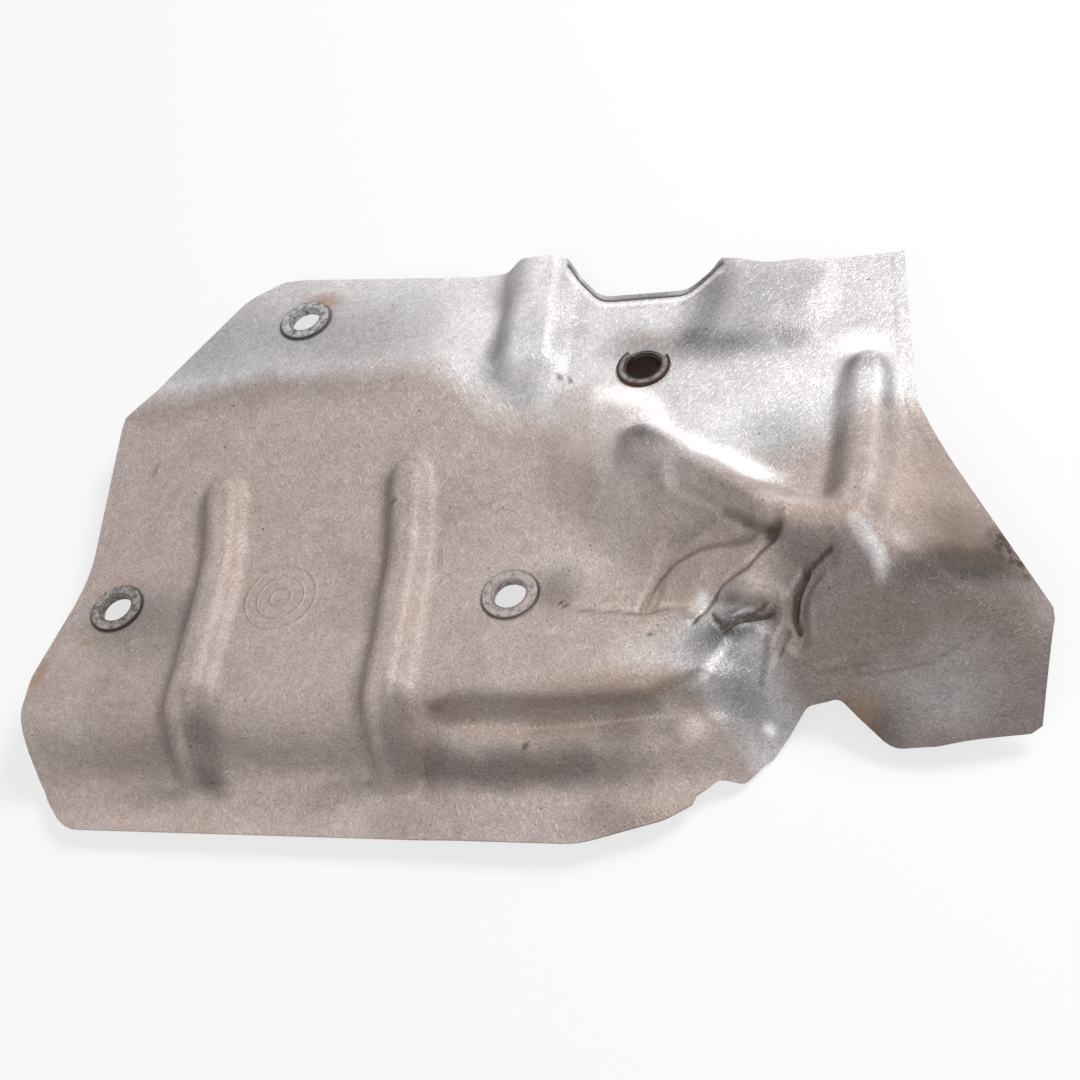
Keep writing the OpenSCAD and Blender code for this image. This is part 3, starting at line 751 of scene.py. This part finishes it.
# Steel of each fixing: its material and bore, the dark, middle and light tint, the scale of
# its patches, and rings round the bore by radius, half width and tint, in millimetres
# The eyelets' rings are painted shade at the rims of flange and bore
BORE_RIM, FLANGE_RIM = 5.2, 8.2
STEELS = {
    "eyelet_upper_left": (
        "spangled_zinc", "upper_left_bore",
        (0.1, 0.095, 0.09), (0.31, 0.305, 0.3), (0.54, 0.535, 0.53), 620,
        ((FLANGE_RIM, 0.3, (0.16, 0.15, 0.14)), (BORE_RIM, 0.4, (0.2, 0.19, 0.185)))),
    "eyelet_lower_left": (
        "dulled_zinc", "lower_left_bore",
        (0.08, 0.072, 0.068), (0.2, 0.18, 0.17), (0.36, 0.335, 0.32), 520,
        ((FLANGE_RIM, 0.3, (0.09, 0.08, 0.07)), (BORE_RIM, 0.4, (0.12, 0.11, 0.1)))),
    "eyelet_centre": (
        "heated_zinc", "centre_bore",
        (0.2, 0.17, 0.16), (0.36, 0.31, 0.295), (0.46, 0.4, 0.38), 560,
        ((FLANGE_RIM, 0.3, (0.22, 0.19, 0.175)), (BORE_RIM, 0.4, (0.24, 0.2, 0.19)))),
    "spacer_bush": (
        "scaled_steel", "bush_bore",
        (0.1, 0.075, 0.065), (0.19, 0.175, 0.17), (0.28, 0.27, 0.265), 480,
        # Painted shade fills the bore near black; dark rust with painted shade rings its rims
        ((0, 5.3, (0.028, 0.022, 0.02)), (5.4, 0.6, (0.05, 0.03, 0.022)),
         (FLANGE_RIM, 1.3, (0.045, 0.018, 0.012))))}


class Nodes:
    """Short calls for a material's nodes."""

    def __init__(self, name):
        self.material = bpy.data.materials.new(name)
        self.material.use_nodes = True
        self.tree = self.material.node_tree
        self.shader = self.tree.nodes["Principled BSDF"]

    def new(self, kind, **values):
        node = self.tree.nodes.new(kind)
        for key, value in values.items():
            setattr(node, key, value)
        return node

    def join(self, a, b):
        self.tree.links.new(a, b)

    def set_input(self, socket, value):
        """A number, a colour or another node's output into a socket."""
        if isinstance(value, (int, float)):
            socket.default_value = value
        elif isinstance(value, tuple):
            socket.default_value = (*value, 1)
        else:
            self.join(value, socket)

    def place(self):
        coords = self.new("ShaderNodeTexCoord")
        return coords.outputs["Object"]

    def attribute(self, name):
        return self.new("ShaderNodeAttribute", attribute_name=name).outputs["Fac"]

    def work_out(self, how, *values):
        """The result of a sum such as ADD or MULTIPLY_ADD."""
        node = self.new("ShaderNodeMath", operation=how)
        for socket, value in zip(node.inputs, values):
            self.set_input(socket, value)
        return node.outputs["Value"]

    def away(self, value, other):
        """How far a value is from another, either way."""
        return self.work_out("ABSOLUTE", self.work_out("SUBTRACT", value, other))

    def span(self, value, low, high, out_low, out_high):
        """A value between low and high, spread from out_low to out_high."""
        node = self.new("ShaderNodeMapRange")
        for socket, number in zip(list(node.inputs)[1:5], (low, high, out_low, out_high)):
            socket.default_value = number
        self.join(value, node.inputs["Value"])
        return node.outputs["Result"]

    def steps(self, value, points):
        """Tints that change along a value, by rows of place and tint."""
        node = self.new("ShaderNodeValToRGB")
        stops = node.color_ramp.elements
        stops[0].position, stops[0].color = points[0][0], (*points[0][1], 1)
        stops[1].position, stops[1].color = points[-1][0], (*points[-1][1], 1)
        for at, tint in points[1:-1]:
            stops.new(at).color = (*tint, 1)
        self.join(value, node.inputs["Fac"])
        return node.outputs["Color"]

    def blend(self, factor, a, b, how="MIX"):
        node = self.new("ShaderNodeMix", data_type="RGBA", blend_type=how)
        self.set_input(node.inputs["Factor"], factor)
        self.set_input(node.inputs["A"], a)
        self.set_input(node.inputs["B"], b)
        return node.outputs["Result"]

    def scaled(self, colour, factor):
        node = self.new("ShaderNodeVectorMath", operation="SCALE")
        self.join(colour, node.inputs["Vector"])
        self.join(factor, node.inputs["Scale"])
        return node.outputs["Vector"]

    def noise(self, scale, detail, roughness):
        node = self.new("ShaderNodeTexNoise")
        node.inputs["Scale"].default_value = scale
        node.inputs["Detail"].default_value = detail
        node.inputs["Roughness"].default_value = roughness
        self.join(self.place(), node.inputs["Vector"])
        return node.outputs["Fac"]

    def scratches(self, turn, along, across):
        """1 on short fine strokes, all lying one way."""
        turned_place = self.new("ShaderNodeMapping", vector_type="TEXTURE")
        turned_place.inputs["Rotation"].default_value = (0, 0, math.radians(turn))
        turned_place.inputs["Scale"].default_value = (1 / along, 1 / across, 1 / across)
        self.join(self.place(), turned_place.inputs["Vector"])
        node = self.new("ShaderNodeTexNoise")
        node.inputs["Scale"].default_value = 1
        node.inputs["Detail"].default_value = 1
        self.join(turned_place.outputs["Vector"], node.inputs["Vector"])
        return self.span(node.outputs["Fac"], 0.6, 0.72, 0, 1)

    def from_bore(self, name):
        """Distance in millimetres from the axis of a bore in the record."""
        off = self.new("ShaderNodeVectorMath", operation="SUBTRACT")
        self.join(self.place(), off.inputs[0])
        off.inputs[1].default_value = bores[name]["pos_m"]
        across = self.new("ShaderNodeVectorMath", operation="CROSS_PRODUCT")
        self.join(off.outputs["Vector"], across.inputs[0])
        across.inputs[1].default_value = Vector(bores[name]["axis"]).normalized()
        size = self.new("ShaderNodeVectorMath", operation="LENGTH")
        self.join(across.outputs["Vector"], size.inputs[0])
        return self.work_out("MULTIPLY", size.outputs["Value"], 1000)

    def ring(self, middle, radius, width):
        """1 on a ring of the sheet, by its middle in the press frame, radius and half width."""
        off_x = self.work_out("SUBTRACT", self.attribute("press_x"), middle[0])
        off_y = self.work_out("SUBTRACT", self.attribute("press_y"), middle[1])
        square = self.work_out("ADD", self.work_out("MULTIPLY", off_x, off_x),
                               self.work_out("MULTIPLY", off_y, off_y))
        off_ring = self.away(self.work_out("SQRT", square), radius)
        return self.span(off_ring, 0, width, 1, 0)

    def rings(self, rows):
        """1 on any of the rings in rows of middle, radius and half width."""
        total = self.ring(*rows[0])
        for row in rows[1:]:
            total = self.work_out("MAXIMUM", total, self.ring(*row))
        return total

    def bump(self, height, strength, distance):
        node = self.new("ShaderNodeBump")
        node.inputs["Strength"].default_value = strength
        node.inputs["Distance"].default_value = distance
        self.join(height, node.inputs["Height"])
        self.join(node.outputs["Normal"], self.shader.inputs["Normal"])


def heated_sheet():
    """Aluminium sheet: silver where it stayed cool, taupe scale where it ran hot, painted shade and
    highlights.
    """
    m = Nodes("heated_sheet")
    m.shader.inputs["Metallic"].default_value = 0.45
    grain = m.noise(GRAIN_SCALE, 3, 0.65)
    mottle = m.noise(MOTTLE_SCALE, 3, 0.6)
    blots = m.noise(BLOT_SCALE, 3, 0.6)
    pits = m.noise(PIT_SCALE, 1, 0.4)
    cloud = m.noise(CLOUD_SCALE, 4, 0.55)
    silver = m.attribute("silver")

    uneven = m.work_out("MULTIPLY_ADD", m.work_out("SUBTRACT", cloud, 0.5), 0.8, silver)
    colour = m.blend(m.steps(uneven, FROM_TAUPE_TO_SILVER), m.steps(cloud, TAUPE),
                     m.steps(cloud, BARE_SILVER))
    for pattern, tints in ((grain, SPECKS), (mottle, PATCHES), (blots, BLOTS), (pits, PITS)):
        colour = m.blend(1.0, colour, m.steps(pattern, tints), "MULTIPLY")

    circles = m.rings([(CIRCLES_AT, radius, width) for radius, width in CIRCLES])
    # Darker rings: the pressed circles, and painted contact shadow with dirt round the flanges
    marks_and_painted_light = m.work_out("MAXIMUM", m.work_out("MULTIPLY", circles, 0.1),
                       m.work_out("MULTIPLY", m.rings(FLANGE_DIRT_AND_SHADOW), 0.6))
    strokes = m.work_out("ADD", *(m.scratches(*row) for row in SCRATCHES))
    # The paint's tone layer: tone changes, with painted shade and painted highlights of the form
    tone_and_painted_light = m.work_out("SUBTRACT", m.work_out("ADD", 1.0, m.attribute("tone_and_painted_light")), marks_and_painted_light)
    tone_and_painted_light = m.work_out("MULTIPLY_ADD", strokes, 0.16, tone_and_painted_light)
    colour = m.scaled(colour, tone_and_painted_light)
    colour = m.blend(m.work_out("MULTIPLY", m.attribute("rust"), 0.7), colour, RUST_TINT)
    uneven_burn = m.span(mottle, 0.38, 0.56, 0.35, 1)
    burnt = m.work_out("MULTIPLY", m.attribute("scorch"), uneven_burn)
    colour = m.blend(burnt, colour, SCORCH_TINT)
    m.join(colour, m.shader.inputs["Base Color"])

    shine = m.work_out("ADD", grain, silver)
    m.join(m.span(shine, 0.3, 1.7, 0.64, 0.4), m.shader.inputs["Roughness"])
    relief = m.work_out("MULTIPLY_ADD", circles, 1.6, m.work_out("ADD", grain, mottle))
    relief = m.work_out("MULTIPLY_ADD", strokes, 0.5, relief)
    m.bump(relief, 0.45, 0.0004)
    return m.material


def mottled_steel(name, bore, dark, middle, light, scale, rims):
    """Plated or scaled steel of the eyelets and the bush, in uneven patches."""
    m = Nodes(name)
    m.shader.inputs["Metallic"].default_value = 0.6
    flakes = m.noise(scale, 4, 0.68)
    colour = m.steps(flakes, ((0.36, dark), (0.47, middle), (0.62, light)))
    # Dark rings at the rims: painted shade, and on the bush also dark rust
    for radius, width, tint in rims:
        off_rim = m.away(m.from_bore(bore), radius)
        colour = m.blend(m.span(off_rim, width * 0.6, width, 1, 0), colour, tint)
    m.join(colour, m.shader.inputs["Base Color"])
    m.join(m.span(flakes, 0.3, 0.7, 0.6, 0.4), m.shader.inputs["Roughness"])
    m.bump(flakes, 0.35, 0.0003)
    return m.material


# Camera, floor and light. The camera's place and axes are in the press frame.

CAMERA_AT = (113.054, -245.841, 306.209)
CAMERA_RIGHT = (0.96660921, 0.08923955, -0.24021437)
CAMERA_UP = (0.07897485, 0.78803424, 0.61054485)
CAMERA_BACK = (0.24378189, -0.60912917, 0.75467347)
LENS, SENSOR_WIDTH = 50, 36      # in millimetres
NEAREST_SEEN = 0.01              # in metres
SKY = 0.32                       # strength of the sky's light
FLOOR_WHITE = 0.7                # share of plain white where the floor is looked at
FLOOR_SIZE = 4


def turned(direction):
    return Vector(np.asarray(direction) @ TURN)


def set_camera():
    data = bpy.data.cameras.new("camera")
    data.lens = LENS
    data.sensor_width = SENSOR_WIDTH
    data.clip_start = NEAREST_SEEN
    camera = bpy.data.objects.new("camera", data)
    bpy.context.scene.collection.objects.link(camera)
    axes = Matrix([turned(CAMERA_RIGHT), turned(CAMERA_UP), turned(CAMERA_BACK)]).transposed()
    camera.matrix_world = Matrix.Translation(Vector(to_row([CAMERA_AT])[0])) @ axes.to_4x4()
    bpy.context.scene.camera = camera


def soft_lamp(name, place, aim, size, power):
    data = bpy.data.lights.new(name, "AREA")
    data.shape = "DISK"
    data.size = size
    data.energy = power
    lamp = bpy.data.objects.new(name, data)
    lamp.location = place
    lamp.rotation_euler = (Vector(aim) - Vector(place)).to_track_quat("-Z", "Y").to_euler()
    bpy.context.scene.collection.objects.link(lamp)


def seen_directly(tree):
    """1 where the camera, gloss or glass looks straight at the surface."""
    path = tree.nodes.new("ShaderNodeLightPath")
    total = path.outputs["Is Camera Ray"]
    for name in ("Is Glossy Ray", "Is Transmission Ray"):
        either = tree.nodes.new("ShaderNodeMath")
        either.operation = "MAXIMUM"
        tree.links.new(total, either.inputs[0])
        tree.links.new(path.outputs[name], either.inputs[1])
        total = either.outputs[0]
    return total


def set_world():
    """A soft sky that lights the part, and plain white where it is looked at."""
    world = bpy.data.worlds.new("studio")
    bpy.context.scene.world = world
    world.use_nodes = True
    tree = world.node_tree
    sky = tree.nodes["Background"]
    sky.inputs["Color"].default_value = (0.97, 0.98, 1, 1)
    sky.inputs["Strength"].default_value = SKY
    seen = tree.nodes.new("ShaderNodeBackground")
    seen.inputs["Color"].default_value = (1, 1, 1, 1)
    seen.inputs["Strength"].default_value = 1
    mixer = tree.nodes.new("ShaderNodeMixShader")
    tree.links.new(seen_directly(tree), mixer.inputs[0])
    tree.links.new(sky.outputs[0], mixer.inputs[1])
    tree.links.new(seen.outputs[0], mixer.inputs[2])
    tree.links.new(mixer.outputs[0], tree.nodes["World Output"].inputs["Surface"])


def set_floor():
    """A pale floor that is mostly plain white where it is looked at."""
    bm = bmesh.new()
    bmesh.ops.create_grid(bm, x_segments=1, y_segments=1, size=FLOOR_SIZE)
    mesh = bpy.data.meshes.new("floor")
    bm.to_mesh(mesh)
    bm.free()
    floor = finish_mesh("floor", mesh)
    m = Nodes("pale_floor")
    m.shader.inputs["Base Color"].default_value = (0.9, 0.9, 0.9, 1)
    m.shader.inputs["Roughness"].default_value = 0.9
    m.shader.inputs["Specular IOR Level"].default_value = 0.1
    white = m.new("ShaderNodeEmission")
    share = m.work_out("MULTIPLY", seen_directly(m.tree), FLOOR_WHITE)
    mixer = m.new("ShaderNodeMixShader")
    m.join(share, mixer.inputs[0])
    m.join(m.shader.outputs[0], mixer.inputs[1])
    m.join(white.outputs[0], mixer.inputs[2])
    m.join(mixer.outputs[0], m.tree.nodes["Material Output"].inputs["Surface"])
    floor.data.materials.append(m.material)


sheet = make_sheet()
sheet.data.materials.append(heated_sheet())
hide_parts("shield_sheet")
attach(sheet, "root")
for node, steel in STEELS.items():
    finish = mottled_steel(*steel)
    for slot in frame["nodes"][node].material_slots:
        slot.material = finish

set_camera()
set_world()
set_floor()
soft_lamp("key", place=(0.6, 0.5, 0.75), aim=(0.05, 0, 0), size=0.4, power=9.5)
soft_lamp("fill", place=(-0.3, -0.7, 0.9), aim=(0, 0, 0), size=0.7, power=2.5)
bpy.context.scene.view_settings.view_transform = "Standard"
